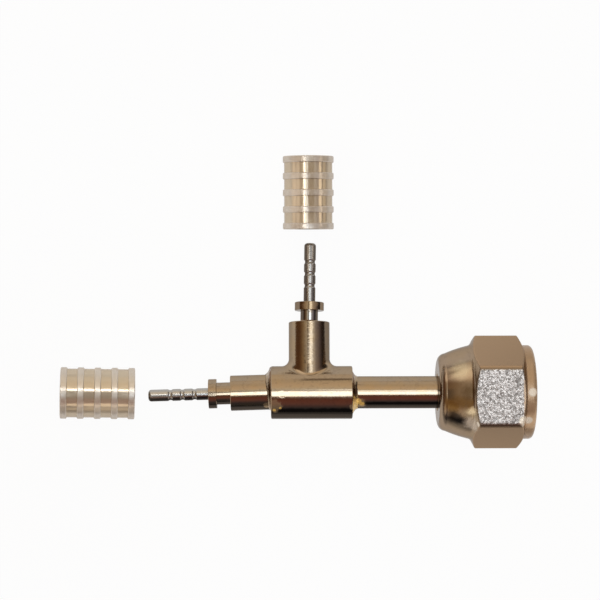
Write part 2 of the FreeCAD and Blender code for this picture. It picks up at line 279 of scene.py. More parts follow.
def new_group(name, inputs, outputs):
    """An empty node group, as (wiring, what it is given, its end node).

    An input is listed with its kind or, where it is a number, with its default.
    """
    tree = bpy.data.node_groups.new(name, "ShaderNodeTree")
    for socket, value in inputs.items():
        kind = value if isinstance(value, str) else "Float"
        made = tree.interface.new_socket(socket, in_out="INPUT", socket_type="NodeSocket" + kind)
        if kind == "Float":
            made.default_value = value
    for socket, kind in outputs.items():
        tree.interface.new_socket(socket, in_out="OUTPUT", socket_type="NodeSocket" + kind)
    wires = Wiring(tree)
    return wires, wires.add("NodeGroupInput").outputs, wires.add("NodeGroupOutput")


def round_measures():
    """Distance along a turned piece, and radius from its axis."""
    wires, given, end = new_group(
        "Round measures", {"Vector": "Vector"}, {"Distance": "Float", "Radius": "Float"}
    )
    parts = wires.add("ShaderNodeSeparateXYZ", {0: given["Vector"]}).outputs
    square = wires.times_plus(parts[1], parts[1], wires.times(parts[2], parts[2]))
    return wires.give(end, Distance=parts[0], Radius=wires.math("SQRT", square))


def turning_lines():
    """Fine rings that a lathe tool leaves, as a height and as a mask."""
    wires, given, end = new_group(
        "Turning lines",
        {"Distance": 0.0, "Radius": 0.0, "Spacing": 0.2},
        {"Height": "Float", "Mask": "Float"},
    )
    across = wires.add("ShaderNodeCombineXYZ", {0: given["Distance"], 1: given["Radius"]})
    placed = wires.resized(across.outputs[0], given["Spacing"])
    lines = wires.noise(placed, 1.0, detail=3.0, dimensions="2D")
    broad = wires.noise(placed, 0.17, detail=1.0, roughness=0.5, dimensions="2D")
    height = wires.times_plus(broad, 0.6, lines)
    return wires.give(end, Height=height, Mask=wires.ramp(lines, 0.5, 0.68))


def patina():
    """Base colour that wanders between a main, a warm and a dark tone, and a roughness to match."""
    wires, given, end = new_group(
        "Patina",
        {
            "Vector": "Vector", "Main": "Color", "Warm": "Color", "Dark": "Color",
            "Warm share": 0.4, "Dark share": 0.3, "Size": 3.0, "Roughness": 0.15,
        },
        {"Color": "Color", "Roughness": "Float"},
    )
    placed = wires.resized(given["Vector"], given["Size"])
    clouds = wires.noise(placed, 1.0, detail=3.0, roughness=0.55)
    specks = wires.noise(placed, 5.3)
    warm = wires.times(wires.ramp(clouds, 0.42, 0.66), given["Warm share"])
    stained = wires.ramp(wires.times_plus(clouds, -0.4, specks), 0.34, 0.52)
    dark = wires.times(stained, given["Dark share"])
    tone = wires.blend(warm, given["Main"], given["Warm"])
    tone = wires.blend(dark, tone, given["Dark"])
    rough = wires.times_plus(dark, 0.12, given["Roughness"])
    return wires.give(end, Color=tone, Roughness=wires.times_plus(warm, 0.03, rough))


def ring_band():
    """Mask of a ring at one distance along a piece, soft at both edges."""
    wires, given, end = new_group(
        "Ring band",
        {"Distance": 0.0, "Middle": 0.0, "Half width": 0.2, "Soft": 0.1},
        {"Mask": "Float"},
    )
    away = wires.math("ABSOLUTE", wires.minus(given["Distance"], given["Middle"]))
    outer = wires.plus(given["Half width"], given["Soft"])
    return wires.give(end, Mask=wires.ramp(away, outer, given["Half width"]))


def crystal_grain():
    """Facets that tip every way, as a height for a bump, and a mask that differs between facets."""
    wires, given, end = new_group(
        "Crystal grain", {"Vector": "Vector", "Size": 0.5}, {"Height": "Float", "Mask": "Float"}
    )
    placed = wires.resized(given["Vector"], given["Size"])
    voronoi = {"Vector": placed, "Scale": 1.0, "Randomness": 1.0}
    cells = wires.add("ShaderNodeTexVoronoi", voronoi).outputs
    inward = wires.vector_math("SUBTRACT", placed, cells["Position"])
    tilt = wires.vector_math("SUBTRACT", cells["Color"], (0.5, 0.5, 0.5))
    fine = wires.noise(placed, 2.6)
    height = wires.times_plus(fine, 0.35, wires.dot(inward, tilt))
    lightness = wires.add("ShaderNodeSeparateColor", {0: cells["Color"]}).outputs[0]
    mask = wires.times(lightness, wires.ramp(fine, 0.35, 0.6))
    return wires.give(end, Height=height, Mask=mask)


def hexagon_flats():
    """Masks of the nut's six flats, of the upper one, and of the rounded rim round that one."""
    wires, given, end = new_group(
        "Hexagon flats",
        {"Vector": "Vector", "Half width": 8.5},
        {"Flats": "Float", "Upper": "Float", "Rim": "Float"},
    )
    height = wires.dot(given["Vector"], (0, 0, 1))
    reach = wires.math("ABSOLUTE", height)
    for turn in (math.radians(-60), math.radians(60)):
        across = wires.dot(given["Vector"], (0, math.sin(turn), math.cos(turn)))
        reach = wires.math("MAXIMUM", reach, wires.math("ABSOLUTE", across))
    # Where the rounded rim starts, where it ends, and where the flat is whole, below the flat
    rim, edge, flat = [wires.minus(given["Half width"], depth) for depth in (0.3, 0.08, 0.03)]
    upper = wires.ramp(height, edge, flat)
    near = wires.times(wires.ramp(height, rim, edge), wires.minus(1.0, upper))
    return wires.give(end, Flats=wires.ramp(reach, rim, edge), Upper=upper, Rim=near)


def handling_marks():
    """Thin short scratches that run every way."""
    wires, given, end = new_group(
        "Handling marks", {"Vector": "Vector", "Share": 0.3}, {"Mask": "Float"}
    )
    scratches = []
    for turn, scale in (((0.3, 0.5, 0.9), (0.5, 9.0, 9.0)), ((1.1, -0.4, 2.1), (0.4, 7.0, 7.0))):
        mapping = {"Vector": given["Vector"], "Rotation": turn, "Scale": scale}
        placed = wires.add("ShaderNodeMapping", mapping).outputs[0]
        lines = wires.noise(placed, 1.0, detail=1.0, roughness=0.5)
        scratches.append(wires.ramp(lines, 0.68, 0.76))
    return wires.give(end, Mask=wires.times(wires.math("MAXIMUM", *scratches), given["Share"]))


def spot():
    """Mask of an irregular blot round a point."""
    wires, given, end = new_group(
        "Spot",
        {"Vector": "Vector", "Middle": "Vector", "Reach": 1.0, "Ragged": 0.5, "Core": 0.6},
        {"Mask": "Float"},
    )
    away = wires.vector_math("DISTANCE", given["Vector"], given["Middle"])
    away = wires.math("DIVIDE", away, given["Reach"])
    torn = wires.times(wires.minus(wires.noise(given["Vector"], 1.3), 0.5), given["Ragged"])
    return wires.give(end, Mask=wires.ramp(wires.plus(away, torn), 1.0, given["Core"]))


GROUP_MAKERS = {
    "Round measures": round_measures,
    "Turning lines": turning_lines,
    "Patina": patina,
    "Ring band": ring_band,
    "Crystal grain": crystal_grain,
    "Hexagon flats": hexagon_flats,
    "Handling marks": handling_marks,
    "Spot": spot,
}


class Finish:
    """One metal material, laid out in a piece's own frame and built up in layers."""

    def __init__(self, name, place):
        self.material = bpy.data.materials.new(name)
        self.wires = bare_wiring(self.material)
        mapping = {
            "Vector": self.wires.add("ShaderNodeTexCoord").outputs["Object"],
            "Location": place.to_translation(),
            "Rotation": place.to_euler(),
            "Scale": (MILLIMETRE, MILLIMETRE, MILLIMETRE),
        }
        self.vector = self.wires.add("ShaderNodeMapping", mapping, vector_type="TEXTURE").outputs[0]
        self.shader = self.wires.add("ShaderNodeBsdfPrincipled")
        self.wires.add("ShaderNodeOutputMaterial", {"Surface": self.shader.outputs[0]})
        measures = self.group("Round measures", {"Vector": self.vector})
        self.distance = measures["Distance"]
        self.radius = measures["Radius"]
        self.metal = 1.0

    def group(self, name, inputs):
        tree = bpy.data.node_groups.get(name) or GROUP_MAKERS[name]()
        return self.wires.add("ShaderNodeGroup", inputs, node_tree=tree).outputs

    def base(self, tones, warm_share, dark_share, size, roughness):
        """The bare metal: its main, warm and dark tones, the size of the patches, its roughness."""
        main, warm, dark = [rgba(tone) for tone in tones]
        look = self.group("Patina", {
            "Vector": self.vector, "Main": main, "Warm": warm, "Dark": dark, "Size": size,
            "Warm share": warm_share, "Dark share": dark_share, "Roughness": roughness,
        })
        self.tone, self.rough = look["Color"], look["Roughness"]

    def cover(self, mask, tone, dullness=0.0):
        """Lays a colour over what is there, and takes away this much of its shine as metal."""
        self.tone = self.wires.blend(mask, self.tone, rgba(tone))
        if dullness:
            self.metal = self.wires.math("MULTIPLY_ADD", mask, -dullness, self.metal, clamp=True)

    def facing(self, direction):
        """How far a turned face looks in a direction across the piece, from -1 to 1."""
        return self.wires.math("DIVIDE", self.wires.dot(self.vector, direction), self.radius)

    def ring(self, middle, half_width, soft=0.1):
        band = {"Distance": self.distance, "Middle": middle, "Half width": half_width, "Soft": soft}
        return self.group("Ring band", band)["Mask"]

    def spot(self, middle, reach, ragged=0.5, core=0.6):
        """Mask of a blot: its reach, how ragged its rim is, and the share of it that is full."""
        blot = {
            "Vector": self.vector, "Middle": middle, "Reach": reach, "Ragged": ragged, "Core": core,
        }
        return self.group("Spot", blot)["Mask"]

    def lathe_lines(self, spacing):
        inputs = {"Distance": self.distance, "Radius": self.radius, "Spacing": spacing}
        return self.group("Turning lines", inputs)

    def bump(self, height, strength, depth):
        """Bump of a height whose full swing is this many millimetres."""
        inputs = {"Height": height, "Strength": strength, "Distance": depth * MILLIMETRE}
        bump = self.wires.add("ShaderNodeBump", inputs)
        self.wires.feed(self.shader.inputs["Normal"], bump.outputs[0])

    def made(self, edge_tint=None):
        """The finished material, which throws this colour back at a glancing angle."""
        self.wires.feed(self.shader.inputs["Base Color"], self.tone)
        self.wires.feed(self.shader.inputs["Roughness"], self.rough)
        self.wires.feed(self.shader.inputs["Metallic"], self.metal)
        if edge_tint:
            self.shader.inputs["Specular Tint"].default_value = rgba(edge_tint)
        return self.material


def dress(node, material):
    """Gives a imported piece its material."""
    for slot in frame["nodes"][node].material_slots:
        slot.material = material


# New pieces

def new_object(name, bm, material):
    """An object in the scene from a bmesh, with its material."""
    mesh = bpy.data.meshes.new(name)
    bm.to_mesh(mesh)
    bm.free()
    mesh.materials.append(material)
    made = bpy.data.objects.new(name, mesh)
    bpy.context.scene.collection.objects.link(made)
    return made


def add_piece(name, bm, place, body, material, sharp=35):
    """Makes a shape laid out in millimetres in a piece's frame into an object on a body."""
    bmesh.ops.remove_doubles(bm, verts=bm.verts, dist=1e-5)
    bmesh.ops.recalc_face_normals(bm, faces=bm.faces)
    bm.transform(place @ Matrix.Scale(MILLIMETRE, 4))
    piece = new_object(name, bm, material)
    piece.data.shade_smooth()
    piece.data.set_sharp_from_angle(angle=math.radians(sharp))
    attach(piece, body)
    return piece


def outline_edges(bm, points):
    """A closed outline of (distance, radius) points in the plane through the X axis."""
    corners = [bm.verts.new((distance, radius, 0)) for distance, radius in points]
    pairs = zip(corners, corners[1:] + corners[:1])
    return corners, [bm.edges.new(pair) for pair in pairs]


def spun_ring(points, steps):
    """A ring: the outline of points turned a full circle about the X axis."""
    bm = bmesh.new()
    corners, edges = outline_edges(bm, points)
    bmesh.ops.spin(
        bm, geom=corners + edges, cent=(0, 0, 0), axis=(1, 0, 0), dvec=(0, 0, 0),
        angle=math.tau, steps=steps, use_merge=True,
    )
    bmesh.ops.remove_doubles(bm, verts=bm.verts, dist=1e-4)
    return bm


# How much of the light the washed nickel and the ferrules throw back at a glancing angle
EDGE_TINT = (0.6, 0.58, 0.56)
FERRULE_EDGE_TINT = (0.7, 0.66, 0.62)
# The sides of the tee and of the run's tail that get painted shade
TEE_SHADED_SIDE = (0, -0.82, -0.57)
TAIL_SHADED_SIDE = (0, 0.82, -0.57)
# Along the tails: where pale nickel starts, and the middles of the branch's neck and run's grooves
RUN_PALE_START = 17.1
BRANCH_PALE_START = 15.3
BRANCH_NECK_MIDDLE = 12.95
RUN_GROOVES = (19.5, 21.55, 23.6)


class WashedNickel(Finish):
    """Polished nickel with lathe lines, what brazing and handling left on it, and painted shade on its darker
    sides.
    """

    def __init__(self, name, place):
        super().__init__(name, place)
        self.tones = tones = settings("tee_finishes")
        nickel = (tones.nickel, tones.nickel_warm, tones.nickel_tarnish_and_shade)
        self.base(nickel, 0.5, 0.35, 3.0, tones.polish)
        lines = self.lathe_lines(0.22)
        marks = self.group("Handling marks", {"Vector": self.vector, "Share": 0.5})["Mask"]
        self.roughen(lines["Mask"], 0.03)
        self.roughen(marks, 0.12)
        waves = self.wires.noise(self.vector, 0.45, detail=1.0, roughness=0.4)
        self.height = self.wires.times_plus(waves, 6.0, lines["Height"])

    def roughen(self, mask, by):
        self.rough = self.wires.times_plus(mask, by, self.rough)

    def pale_nipple(self, start, neck=None):
        """Thick pale nickel beyond a distance, and round the neck: duller on the nipple alone."""
        pale = self.wires.ramp(self.distance, start, start + 0.2)
        self.roughen(pale, self.tones.pale_dulled)
        if neck:
            pale = self.wires.math("MAXIMUM", pale, self.ring(neck, 0.95))
        self.cover(pale, self.tones.nickel_pale)
        return pale

    def paint_low_shade(self, direction):
        """Painted shade, with a ragged edge, on the side that a direction across the piece names."""
        ragged = self.wires.minus(self.wires.noise(self.vector, 0.9), 0.5)
        low = self.wires.times_plus(ragged, 0.12, self.facing(direction))
        self.cover(self.wires.ramp(low, 0.02, 0.14, 0.0, 0.94), self.tones.painted_dark_shade)

    def paint_shade_between_grooves(self, grooves, pale):
        """Painted shade along the pale nipple's lower side, but not in its grooves."""
        wires = self.wires
        low = wires.times(wires.ramp(self.facing((0, 1, 0)), 0.12, 0.38, 0.0, 0.9), pale)
        for middle in grooves:
            low = wires.times(low, wires.minus(1.0, self.ring(middle, 0.2, 0.25)))
        self.cover(low, self.tones.painted_dark_shade)

    def paint_shaded_sides(self, pale):
        """Painted shade down both sides of a tail, darkest where they are pale."""
        edge = self.wires.math("ABSOLUTE", self.facing((0, 1, 0)))
        self.cover(self.wires.ramp(edge, 0.52, 0.78, 0.0, 0.9), self.tones.nickel_tarnish_and_shade)
        painted_dark_shade = self.wires.times(self.wires.ramp(edge, 0.45, 0.75, 0.0, 0.6), pale)
        self.cover(painted_dark_shade, self.tones.painted_dark_shade)

    def stain(self, middle, reach):
        """A warm stain beside a brazed joint."""
        mask = self.wires.times(self.spot(middle, reach, 0.9), 0.85)
        self.cover(mask, self.tones.nickel_warm, 0.5)

    def fleck(self, middle, reach):
        """A golden fleck of braze."""
        self.cover(self.spot(middle, reach), self.tones.braze, 0.7)

    def branch_chatter_and_painted_shade(self):
        """Chatter rings on the tee's branch, and painted shade down its sides."""
        wires = self.wires
        on_branch = wires.ramp(wires.dot(self.vector, (0, 1, 0)), 4.6, 5.4)
        side = wires.dot(self.vector, (1, 0, 0))
        right, left = wires.ramp(side, 2.2, 2.7, 0.0, 0.5), wires.ramp(side, -2.6, -3.1, 0.0, 0.15)
        self.cover(wires.times(wires.plus(right, left), on_branch), self.tones.painted_dark_shade)
        rings = wires.vector_math("MULTIPLY", self.vector, (0.9, 3.4, 0.9))
        chatter = wires.times(wires.noise(rings, 1.0, roughness=0.5), 14.0)
        self.height = wires.times_plus(chatter, on_branch, self.height)
        self.roughen(on_branch, 0.03)

    def dent(self, middle):
        pit = self.spot(middle, 0.7, 1.2)
        self.height = self.wires.times_plus(pit, -6.0, self.height)

    def made(self):
        self.bump(self.height, 0.35, 0.005)
        return super().made(EDGE_TINT)


class SOLDERTEE_OT_nickel(bpy.types.Operator):
    """Finish the tee, its stem and its hose tails in washed nickel"""
    bl_idname = "soldertee.nickel"
    bl_label = "Nickel-washed pieces"

    def tee(self):
        finish = WashedNickel("nickel_tee", TEE)
        finish.paint_low_shade(TEE_SHADED_SIDE)
        finish.stain((-5.9, -2.5, 3.7), 1.5)
        finish.stain((7.2, -2.6, 3.6), 0.6)
        finish.fleck((-5.95, -3.1, 3.2), 0.35)
        finish.fleck((-4.9, -2.8, 3.5), 0.3)
        finish.branch_chatter_and_painted_shade()
        finish.dent((-4.6, -0.6, 4.4))
        return finish.made()

    def stem(self):
        finish = WashedNickel("nickel_stem", TEE)
        finish.paint_low_shade(TEE_SHADED_SIDE)
        finish.stain((8.6, -2.0, 1.9), 1.2)
        finish.fleck((8.2, -1.7, 2.2), 0.75)
        finish.fleck((8.9, -2.1, 1.9), 0.6)
        return finish.made()

    def run_tail(self):
        finish = WashedNickel("nickel_run_tail", TAIL)
        pale = finish.pale_nipple(RUN_PALE_START)
        finish.paint_low_shade(TAIL_SHADED_SIDE)
        finish.paint_shade_between_grooves(RUN_GROOVES, pale)
        finish.stain((7.2, 2.0, 2.2), 0.8)
        return finish.made()

    def branch_tail(self):
        finish = WashedNickel("nickel_branch_tail", BRANCH)
        pale = finish.pale_nipple(BRANCH_PALE_START, BRANCH_NECK_MIDDLE)
        finish.paint_shaded_sides(pale)
        finish.stain((14.7, 0.2, 2.3), 1.5)
        return finish.made()

    def execute(self, context):
        dress("tee_body", self.tee())
        dress("union_stem", self.stem())
        dress("run_hose_tail", self.run_tail())
        dress("branch_hose_tail", self.branch_tail())
        return {"FINISHED"}


# Painted reflections on the nut's bell and collar, light and dark patches of the room: middle in the nut's frame,
# reach, colour, dullness
NUT_PAINTED_REFLECTIONS = [
    ((25.2, 4.2, 6.1), 2.5, (0.52, 0.42, 0.28), 0.3),
    ((26.8, -3.0, 7.3), 1.9, (0.5, 0.39, 0.25), 0.5),
    ((26.5, 0.7, 7.7), 1.9, (0.19, 0.125, 0.07), 0.0),
    ((26.9, -2.5, 7.5), 1.1, (0.95, 0.78, 0.5), 0.65),
    ((23.8, -1.8, 6.7), 2.1, (0.24, 0.135, 0.045), 0.2),
    ((24.0, -3.6, 6.1), 1.9, (0.045, 0.03, 0.02), 0.0),
    ((24.8, -4.1, 6.1), 1.5, (0.07, 0.055, 0.045), 0.0),
    ((26.9, -4.7, 6.5), 1.9, (0.72, 0.61, 0.48), 0.75),
    ((36.8, -4.4, 6.6), 2.4, (0.74, 0.52, 0.32), 0.3),
]
# Painted highlights on the nut's rounded corners and collar: middle and reach
NUT_PAINTED_HIGHLIGHTS = [
    ((27.9, -4.6, 7.9), 0.5),
    ((35.5, -4.1, 8.3), 1.1),
    ((36.97, 0.7, 7.93), 0.85),
    ((36.4, -4.1, 6.9), 0.85),
]
# Distances at which the painted glint on the upper flat fades and the collar's tan sets in, and the size of a
# crystal
PAINTED_GLINT_END = (35.75, 35.45)
COLLAR_START = (35.8, 36.1)
CRYSTAL_SIZE = 0.29


class SOLDERTEE_OT_nut(bpy.types.Operator):
    """Finish the union nut: glossy round faces and grainy flats, with a painted glint on the upper one"""
    bl_idname = "soldertee.nut"
    bl_label = "Union nut"

    def execute(self, context):
        tones = settings("tee_finishes")
        finish = Finish("nickel_nut", NUT)
        wires = finish.wires
        nickel = (tones.nut, tones.nickel_warm, tones.nickel_tarnish_and_shade)
        finish.base(nickel, 0.35, 0.3, 4.0, tones.nut_polish)
        faces = finish.group("Hexagon flats", {"Vector": finish.vector})
        grain = finish.group("Crystal grain", {"Vector": finish.vector, "Size": CRYSTAL_SIZE})
        ragged = wires.noise(finish.vector, 3.0, detail=1.0, roughness=0.5)
        fading = wires.ramp(wires.times_plus(ragged, 0.3, finish.distance), *PAINTED_GLINT_END)
        painted_glint = wires.times(faces["Upper"], fading)
        glint = wires.ramp(grain["Mask"], 0.12, 0.55)
        painted_glint_grains = wires.blend(glint, rgba(tones.nut_glint_shaded_grains), rgba(tones.nut_painted_glint))
        collar = wires.ramp(finish.distance, *COLLAR_START)
        finish.cover(faces["Flats"], tones.nut_flat)
        # Painted shade along the rounded rim round the upper flat
        finish.cover(faces["Rim"], tones.nickel_tarnish_and_shade)
        # Painted highlight: the upper flat is laid in bright and shaded silvery grains where it faces the lamp
        finish.tone = wires.blend(painted_glint, finish.tone, painted_glint_grains)
        finish.cover(collar, tones.nut_collar, 0.7)
        finish.rough = wires.blend(faces["Flats"], finish.rough, grey(tones.nut_matt))
        finish.rough = wires.blend(painted_glint, finish.rough, grey(tones.frost))
        finish.rough = wires.blend(collar, finish.rough, grey(tones.collar_matt))
        # Painted reflections, light and dark
        for middle, reach, tone, dullness in NUT_PAINTED_REFLECTIONS:
            finish.cover(finish.spot(middle, reach, 0.6, 0.2), tone, dullness)
        # Painted highlights
        for middle, reach in NUT_PAINTED_HIGHLIGHTS:
            finish.cover(finish.spot(middle, reach, 0.2), tones.nut_painted_highlight, 0.6)
        coarse = wires.times(grain["Height"], painted_glint)
        fine = wires.times(wires.noise(finish.vector, 7.0, detail=3.0), faces["Flats"])
        finish.bump(wires.times_plus(fine, 0.3, coarse), 0.8, 0.06)
        dress("union_nut", finish.made(EDGE_TINT))
        return {"FINISHED"}


# Radii at which a ferrule's ribs end and its grooves are whole, and how much smoother those are
RIB_FOOT = (4.3, 4.15)
GROOVE_SMOOTHER = 0.11


class SOLDERTEE_OT_ferrules(bpy.types.Operator):
    """Finish the two crimp ferrules in satin aluminium"""
    bl_idname = "soldertee.ferrules"
    bl_label = "Crimp ferrules"

    def satin(self, name, place):
        tones = settings("tee_finishes")
        finish = Finish(name, place)
        groove = finish.wires.ramp(finish.radius, *RIB_FOOT)
        finish.base((tones.ferrule, tones.ferrule, tones.ferrule_dark_and_groove_shade), 0.3, 0.4, 2.0, tones.satin)
        # Painted shade in the grooves between the ribs
        finish.cover(groove, tones.ferrule_dark_and_groove_shade)
        finish.rough = finish.wires.times_plus(groove, -GROOVE_SMOOTHER, finish.rough)
        finish.metal = tones.satin_metal
        finish.bump(finish.lathe_lines(0.16)["Height"], 0.3, 0.006)
        finish.shader.inputs["Specular IOR Level"].default_value = 0.2
        return finish.made(FERRULE_EDGE_TINT)

    def execute(self, context):
        dress("run_ferrule", self.satin("aluminium_run_ferrule", RUN_FERRULE))
        dress("branch_ferrule", self.satin("aluminium_branch_ferrule", BRANCH_FERRULE))
        return {"FINISHED"}


# Braze beads: packed ring, its frame, distance of its face, radius of the core, length and height,
# lean to one side, golden side, seed
BEADS = [
    ("run_braze", TAIL, 6.5, 3.0, (0.62, 0.9), (0, -0.42, 0), (0, 0.9, 0.2), 3.1),
    ("stem_braze", TEE, 7.3, 2.75, (0.75, 0.85), (0, -0.1, 0.15), (0, -0.74, 0.67), 7.7),
    ("branch_braze", BRANCH, 12.0, 1.5, (0.32, 0.36), (0, 0, 0), (0, 0, -1), 5.2),
]
# A bead's hollow in shares of its length and height, how far it is sunk into the face and the core,
# and how thick its edge is
BEAD_HOLLOW = [(0.12, 0.88), (0.3, 0.58), (0.5, 0.34), (0.74, 0.16)]
SUNK_IN_FACE = 0.2
SUNK_IN_CORE = 0.1
BEAD_EDGE = 0.04


class SOLDERTEE_OT_braze(bpy.types.Operator):
    """Lay an uneven braze bead in place of each plain ring"""
    bl_idname = "soldertee.braze"
    bl_label = "Braze beads"

    def alloy(self, name, place, foot, golden_side):
        """Nickel-coloured where the wash took, golden on one side, with burnt flux at its foot."""
        tones = settings("tee_finishes")
        finish = Finish(name, place)
        wires = finish.wires
        finish.base((tones.nickel, tones.nickel_warm, tones.braze_burnt), 0.7, 0.6, 1.2, 0.2)
        torn = wires.times_plus(wires.noise(finish.vector, 1.1), 0.5, finish.facing(golden_side))
        golden = wires.ramp(torn, 1.05, 1.18)
        burnt = wires.times(finish.ring(foot, 0.16, 0.22), wires.minus(0.9, golden))
        finish.cover(burnt, tones.braze_burnt)
        finish.cover(golden, tones.braze, 0.5)
        finish.bump(wires.noise(finish.vector, 2.4, detail=3.0), 0.6, 0.08)
        return finish.made()

    def bead(self, face, core, size, lean, seed):
        """A hollow ring of braze on a face, fuller on the side it leans to and nowhere even."""
        beads = settings("braze_beads")
        run, rise = size
        profile = [(face - SUNK_IN_FACE, core - SUNK_IN_CORE), (face - SUNK_IN_FACE, core + rise)]
        profile += [(face + along * run, core + up * rise) for along, up in BEAD_HOLLOW]
        profile += [(face + run, core + BEAD_EDGE), (face + run, core - SUNK_IN_CORE)]
        bm = spun_ring(profile, beads.steps)
        for vert in bm.verts:
            radius = math.hypot(vert.co.y, vert.co.z)
            away = Vector((0, vert.co.y, vert.co.z)).normalized()
            broad = noise.noise(away * 1.7 + Vector((seed, 0, 0)))
            fine = noise.noise(away * 4.1 + Vector((0, seed, 0)))
            factor = 1 + beads.wobble * (broad + 0.5 * fine) + away.dot(Vector(lean))
            if radius > core + 0.01:
                raised = core + (radius - core) * factor
                vert.co.y, vert.co.z = away.y * raised, away.z * raised
            if vert.co.x > face:
                vert.co.x = face + (vert.co.x - face) * factor
        return bm

    def execute(self, context):
        for node, place, face, core, size, lean, golden_side, seed in BEADS:
            name = node + "_bead"
            material = self.alloy(name + "_alloy", place, face + 0.05, golden_side)
            bm = self.bead(face, core, size, lean, seed)
            piece = add_piece(name, bm, place, "tee", material, sharp=60)
            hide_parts(node)
        return {"FINISHED"}


# The thread's ridge, in shares of the pitch: where its crest starts and ends, and where it ends
CREST_START = 0.35
CREST_END = 0.55
RIDGE_END = 0.9
# How deep the ridge's foot is sunk into the wall
RIDGE_SUNK = 0.08


class SOLDERTEE_OT_thread(bpy.types.Operator):
    """Cut the union's right-hand thread: one ridge that winds along the nut's wall"""
    bl_idname = "soldertee.thread"
    bl_label = "Union thread"

    def execute(self, context):
        sizes = settings("union_thread")
        pitch = sizes.pitch / MILLIMETRE
        wall = sizes.major / MILLIMETRE / 2 + RIDGE_SUNK
        crest = sizes.minor / MILLIMETRE / 2
        start = sizes.start / MILLIMETRE
        end = sizes.end / MILLIMETRE
        turns = (end - start) / pitch - RIDGE_END
        steps = round(turns * sizes.steps)
        bm = bmesh.new()
        ridge = [(0, wall), (CREST_START, crest), (CREST_END, crest), (RIDGE_END, wall)]
        ridge = [(start + pitch * along, radius) for along, radius in ridge]
        corners, edges = outline_edges(bm, ridge)
        profile = bm.faces.new(corners)
        step_along = Vector((pitch * turns / steps, 0, 0))
        bmesh.ops.spin(
            bm, geom=corners + edges + [profile], cent=(0, 0, 0), axis=(1, 0, 0), dvec=step_along,
            angle=math.tau * turns, steps=steps, use_merge=False,
        )
        tones = settings("tee_finishes")
        finish = Finish("nickel_thread", NUT)
        finish.base((tones.nut, tones.nickel_warm, tones.nickel_tarnish_and_shade), 0.5, 0.4, 1.5, tones.polish)
        add_piece("union_thread", bm, NUT, "union", finish.made())
        return {"FINISHED"}


# Light of the room, in degrees from straight up: along the run from left to right, and across it
ALONG_RUN = [
    (-90, (0.24, 0.15, 0.09)),
    (-76, (0.15, 0.08, 0.04)),
    (-62, (0.18, 0.095, 0.05)),
    (-50, (0.31, 0.2, 0.11)),
    (-38, (0.5, 0.385, 0.25)),
    (-26, (0.74, 0.68, 0.57)),
    (-16, (0.9, 0.86, 0.78)),
    (-5, (1.0, 1.0, 0.95)),
    (20, (1.0, 1.0, 1.0)),
    (30, (0.5, 0.47, 0.49)),
    (43, (0.33, 0.29, 0.3)),
    (56, (0.16, 0.135, 0.15)),
    (70, (0.04, 0.03, 0.025)),
    (90, (0.07, 0.06, 0.06)),
]
ACROSS_RUN = [
    (-90, (0.056, 0.056, 0.06)),
    (-66, (0.07, 0.066, 0.08)),
    (-56, (0.14, 0.09, 0.1)),
    (-46, (0.25, 0.12, 0.11)),
    (-30, (0.26, 0.095, 0.075)),
    (-20, (0.19, 0.085, 0.06)),
    (-12, (0.5, 0.4, 0.35)),
    (10, (1.0, 1.0, 1.0)),
    (18, (1.15, 1.12, 1.02)),
    (28, (1.18, 1.03, 0.79)),
    (42, (1.13, 0.94, 0.71)),
    (52, (1.0, 0.86, 0.65)),
    (62, (0.96, 0.84, 0.67)),
    (72, (1.0, 0.92, 0.8)),
    (90, (0.93, 0.84, 0.72)),
]
# Softer lights between those: where each stands, its inner and outer spread in degrees, its colour
ROOM_LIGHTS = [
    ((-0.55, -0.38, 0.74), 8, 24, (0.4, 0.26, 0.1)),
    ((-0.62, -0.68, 0.38), 8, 20, (0.9, 0.8, 0.68)),
    ((0.76, -0.62, 0.1), 10, 26, (1.6, 1.45, 1.25)),
    ((-0.45, 0.75, 0.48), 8, 20, (1.45, 1.3, 1.1)),
    ((-0.24, 0.26, 0.935), 3, 6, (0.12, 0.1, 0.08)),
]

# The soft lamps overhead: middle and size in millimetres, share of the full brightness
SOFT_LAMPS = [((-22, -17), (214, 164), 1.0), ((38, 106), (150, 62), 0.7)]

# Cards round each ferrule: mount, direction from it, distance, length and width, brightness, colour
CARDS = [
    ("run_ferrule_bore", (0.0, 0.342, 0.94), 50, (18, 5), 11.0, (1.0, 1.0, 1.0)),
    ("run_ferrule_bore", (0.0, -0.76, 0.65), 34, (16, 10), 1.7, (1.0, 0.88, 0.7)),
    ("run_ferrule_bore", (0.0, -0.95, 0.31), 34, (16, 14), 0.8, (1.0, 0.84, 0.64)),
    ("branch_ferrule_bore", (-0.405, 0.025, 0.914), 36, (18, 3.0), 11.0, (1.0, 1.0, 1.0)),
    ("branch_ferrule_bore", (0.76, 0.02, 0.65), 34, (16, 9), 2.2, (1.0, 0.88, 0.7)),
    ("branch_ferrule_bore", (-0.83, 0.02, 0.55), 34, (16, 14), 1.05, (1.0, 0.92, 0.82)),
    ("branch_ferrule_bore", (-0.97, 0.02, 0.24), 34, (16, 12), 1.3, (1.0, 0.9, 0.78)),
    ("branch_ferrule_bore", (0.95, 0.02, 0.31), 34, (16, 12), 1.0, (1.0, 0.86, 0.66)),
]
CARD_SPREAD = math.radians(60)
# Dim flags that keep the soft lamps off the ferrules: mount, middle above it and size, brightness
FLAGS = [
    ("run_ferrule_bore", (-0.5, -1.5, 62.0), (19, 36), 0.1),
    ("branch_ferrule_bore", (1.75, 0.8, 20.0), (10.5, 14.5), 0.35),
]
FLAG_TINT = (1.0, 0.82, 0.62)

# The floor in metres: its radius, its depth under the tee, and where its mirrored light fades
FLOOR_RADIUS = 6.0
FLOOR_SUNK = 0.00002
FLOOR_FADES = (0.02, 0.06)

